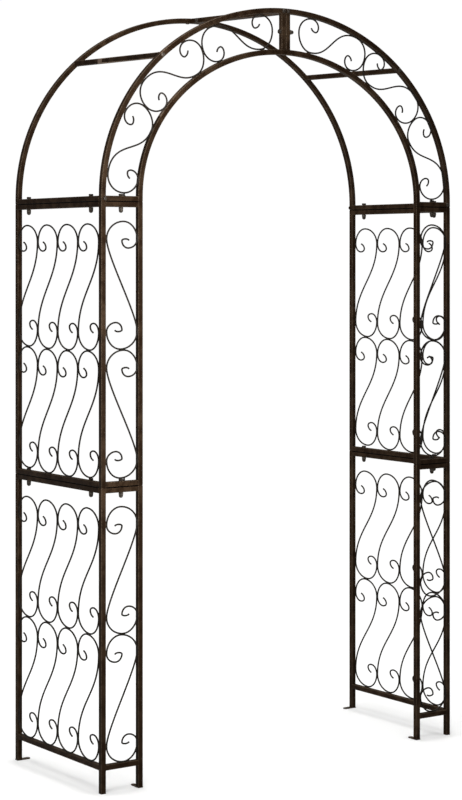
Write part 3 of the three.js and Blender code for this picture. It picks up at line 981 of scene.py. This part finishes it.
def add_top_screws(side):
    """The screws in the arches' front and back faces, and the one under the back arch."""
    sign = SIDES[side]
    for face, axis, rise in (("front", -Y, FRONT_RISE), ("back", Y, BACK_RISE)):
        y = axis.y * (POST_Y + HALF)
        braced, _ = arch_point(BRACE_ANGLE, 0, rise)
        spots = {
            "crown": Vector((sign * CROWN_X, y, SPRING_Z + rise)),
            "brace": Vector((sign * braced.x, y, braced.y)),
            "base": Vector((sign * (POST_X - BASE_SCREW_INSET), y, BASE_RAIL_Z)),
        }
        for place, spot in spots.items():
            add_screw(f"{side}_{place}_screw_{face}", spot, axis, X)
    under = Vector((sign * UNDER_SCREW_X, POST_Y, BACK_CROWN_Z - HALF))
    add_screw(f"{side}_under_screw", under, -Z, X)


def add_top(side):
    sign = SIDES[side]
    add_arch(f"{side}_outer_arch", sign, 0, FRONT_RISE, -POST_Y)
    add_arch(f"{side}_inner_arch", sign, -WING_PITCH, FRONT_RISE, -POST_Y)
    add_arch(f"{side}_back_arch", sign, 0, BACK_RISE, POST_Y)
    add_band(side)
    seams = Shape()
    add_base_rails(side, seams)
    add_crown(side, seams)
    add_brace(side, seams)
    seams.piece(f"{side}_top_welds", "tube_paint")
    add_top_screws(side)


# ---- bolts and cap nuts ----

HEX_RADIUS = HEX_FLATS / 2  # to the middle of a flat
HEX_CORNER = HEX_RADIUS / math.cos(math.pi / 6)  # to a corner

SHANK_TIP = SHANK / 2 * 0.9  # its radius where it meets the nut
SHANK_EASE = 0.0005
WASHER_RADIUS = HEX_RADIUS * 0.97
WASHER_HEIGHT = 0.0004
HEAD_TOP_RADIUS = HEX_RADIUS * 0.88
HEAD_CHAMFER = (  # depth under the top face, radius limit, wear
    (0.0013, HEX_CORNER, 0.1),
    (0.0008, HEX_CORNER * 0.96, 0.4),
    (0.0003, WASHER_RADIUS, 0.4),
)

DOME_RADIUS = HEX_RADIUS * 0.95
DOME_STEPS = 9
DOME_TIP_WEAR = 0.75
DOME_WEAR_LOSS = 0.5  # from the dome's tip to its foot
NUT_FACE_RADIUS = HEX_RADIUS * 0.98
NUT_CHAMFER = 0.0009


def bolt_rings(nut_face, top):
    """The rings of a shank, of the washer face under its head, and of the chamfered head."""
    head_base = top - HEAD_HEIGHT
    rings = [
        (nut_face, SHANK_TIP, None, 0),
        (nut_face + SHANK_EASE, SHANK / 2, None, 0),
        (head_base, SHANK / 2, None, 0),
        (head_base, WASHER_RADIUS, None, 0),
        (head_base + WASHER_HEIGHT, WASHER_RADIUS, None, 0.2),
        (head_base + WASHER_HEIGHT, HEX_CORNER, HEX_FLATS, 0.1),
    ]
    rings += [(top - depth, limit, HEX_FLATS, wear_and_painted_light) for depth, limit, wear_and_painted_light in HEAD_CHAMFER]
    return rings + [(top, HEAD_TOP_RADIUS, None, 0.2)]


def nut_rings(tip, nut_face):
    """The rings of a dome on a hexagon that is chamfered at both ends."""
    rings = []
    for step in range(1, DOME_STEPS + 1):
        angle = step / DOME_STEPS * math.pi / 2
        height = tip + DOME_RADIUS * (1 - math.cos(angle))
        wear_and_painted_light = DOME_TIP_WEAR - DOME_WEAR_LOSS * step / DOME_STEPS
        rings.append((height, DOME_RADIUS * math.sin(angle), None, wear_and_painted_light))
    hex_start = nut_face - NUT_HEX_HEIGHT
    return rings + [
        (hex_start, DOME_RADIUS, None, 0.2),
        (hex_start, NUT_FACE_RADIUS, HEX_FLATS, 0.7),
        (hex_start + NUT_CHAMFER, HEX_CORNER, HEX_FLATS, 0.9),
        (nut_face - NUT_CHAMFER, HEX_CORNER, HEX_FLATS, 0.5),
        (nut_face, NUT_FACE_RADIUS, HEX_FLATS, 0.6),
    ]


def add_bolt(node, axis):
    """A hexagon bolt and its cap nut, where the frame has them, with the head toward axis.

    Two of each hexagon's flats face along Y.
    """
    box_low, box_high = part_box(node)
    middle = (box_low + box_high) / 2
    top = abs((box_high - box_low).dot(axis)) / 2
    nut_face = NUT_HEIGHT - top
    bolt = Shape()
    turned(bolt, middle, axis, Y, bolt_rings(nut_face, top))
    bolt.piece(f"{node}_head", "fastener", node)
    nut = Shape()
    turned(nut, middle, axis, Y, nut_rings(-top, nut_face))
    nut.piece(f"{node}_cap_nut", "fastener")


# ---- the whole arch ----

for side_name in SIDES:
    for section_name in SECTIONS:
        part = Section(side_name, section_name)
        add_posts(part)
        add_side_panel(part)
        add_wing(part)
    add_top(side_name)
    for joint in ("middle", "top"):
        for spot_name in ("front", "back", "wing"):
            add_bolt(f"{side_name}_{joint}_bolt_{spot_name}", Z)
add_bolt("crown_bolt_front", -X)
add_bolt("crown_bolt_back", -X)


# ---- floor, light and camera ----

FLOOR_REACH = 60
FLOOR_BOUNCE = (0.35, 0.35, 0.35, 1)  # the floor's colour in the light that it throws on the arch
FLOOR_SEEN = (0.86, 0.86, 0.855, 1)  # its colour as seen
FLOOR_ROUGHNESS = 0.95
FLOOR_SPECULAR = 0.1


def add_floor():
    mesh = bpy.data.meshes.new("floor")
    corners = [(x * FLOOR_REACH, y * FLOOR_REACH, 0) for x, y in ((-1, -1), (1, -1), (1, 1), (-1, 1))]
    mesh.from_pydata(corners, [], [(0, 1, 2, 3)])
    floor = bpy.data.objects.new("floor", mesh)
    bpy.context.scene.collection.objects.link(floor)
    material = bpy.data.materials.new("pale_floor")
    material.use_nodes = True
    shader = material.node_tree.nodes["Principled BSDF"]
    mix = material.node_tree.nodes.new("ShaderNodeMix")
    mix.data_type = "RGBA"
    mix.inputs[MIX_FIRST].default_value = FLOOR_BOUNCE
    mix.inputs[MIX_SECOND].default_value = FLOOR_SEEN
    path = material.node_tree.nodes.new("ShaderNodeLightPath")
    material.node_tree.links.new(path.outputs["Is Camera Ray"], mix.inputs["Factor"])
    material.node_tree.links.new(mix.outputs[MIX_RESULT], shader.inputs["Base Color"])
    shader.inputs["Roughness"].default_value = FLOOR_ROUGHNESS
    shader.inputs["Specular IOR Level"].default_value = FLOOR_SPECULAR
    mesh.materials.append(material)


# Each area light's name, place, target, width, height, power and spread in degrees. The key light
# is a tall, narrow one before the left tower. The passage light stands between the towers and
# shines on the right one, and the side light is a broad one high on the left.
AREA_LIGHTS = (
    ("key", (-0.7, -2.0, 1.6), (-0.7, 0, 1.6), 0.6, 2.0, 11.5, 75),
    ("passage", (-0.45, -0.1, 1.5), (0.6, -0.1, 1.5), 0.4, 1.6, 5, 180),
    ("side", (-3.5, -3.0, 4.5), (0, 0, 1.2), 2.5, 2.5, 55, 180),
)
OVERHEAD_POWER = 3.3
OVERHEAD_ANGLE = math.radians(60)


def add_area_light(name, place, target, width, height, power, spread):
    data = bpy.data.lights.new(name, "AREA")
    data.shape = "RECTANGLE"
    data.size = width
    data.size_y = height
    data.energy = power
    data.spread = math.radians(spread)
    light = bpy.data.objects.new(name, data)
    light.location = place
    aim = Vector(target) - Vector(place)
    light.rotation_euler = aim.to_track_quat("-Z", "Y").to_euler()
    bpy.context.scene.collection.objects.link(light)


def add_overhead_light():
    """A broad, even light from above, which keeps the floor as pale as the surroundings."""
    data = bpy.data.lights.new("overhead", "SUN")
    data.energy = OVERHEAD_POWER
    data.angle = OVERHEAD_ANGLE
    bpy.context.scene.collection.objects.link(bpy.data.objects.new("overhead", data))


WORLD_SEEN = 1.02  # the surroundings' brightness behind the arch
WORLD_LIGHT = 0.16  # their brightness in the light that falls on it


def add_world():
    world = bpy.data.worlds.new("studio")
    world.use_nodes = True
    nodes, links = world.node_tree.nodes, world.node_tree.links
    background = nodes["Background"]
    background.inputs["Color"].default_value = (1, 1, 1, 1)
    path = nodes.new("ShaderNodeLightPath")
    level = nodes.new("ShaderNodeMapRange")
    level.inputs["To Min"].default_value = WORLD_LIGHT
    level.inputs["To Max"].default_value = WORLD_SEEN
    links.new(path.outputs["Is Camera Ray"], level.inputs["Value"])
    links.new(level.outputs["Result"], background.inputs["Strength"])
    bpy.context.scene.world = world
    bpy.context.scene.view_settings.view_transform = "Standard"


CAMERA_PLACE = Vector((-3.732, -5.302, 1.520))
CAMERA_YAW = math.radians(-34.94)
CAMERA_LENS = 93.9
CAMERA_SENSOR = 36
CAMERA_RISE = -0.178  # of the long side, so that a level camera frames the arch down to its feet


def add_camera():
    data = bpy.data.cameras.new("camera")
    data.sensor_width = CAMERA_SENSOR
    data.lens = CAMERA_LENS
    data.shift_y = CAMERA_RISE
    camera = bpy.data.objects.new("camera", data)
    camera.location = CAMERA_PLACE
    camera.rotation_euler = (math.radians(90), 0, CAMERA_YAW)
    bpy.context.scene.collection.objects.link(camera)
    bpy.context.scene.camera = camera


add_floor()
add_world()
add_overhead_light()
for area_light in AREA_LIGHTS:
    add_area_light(*area_light)
add_camera()
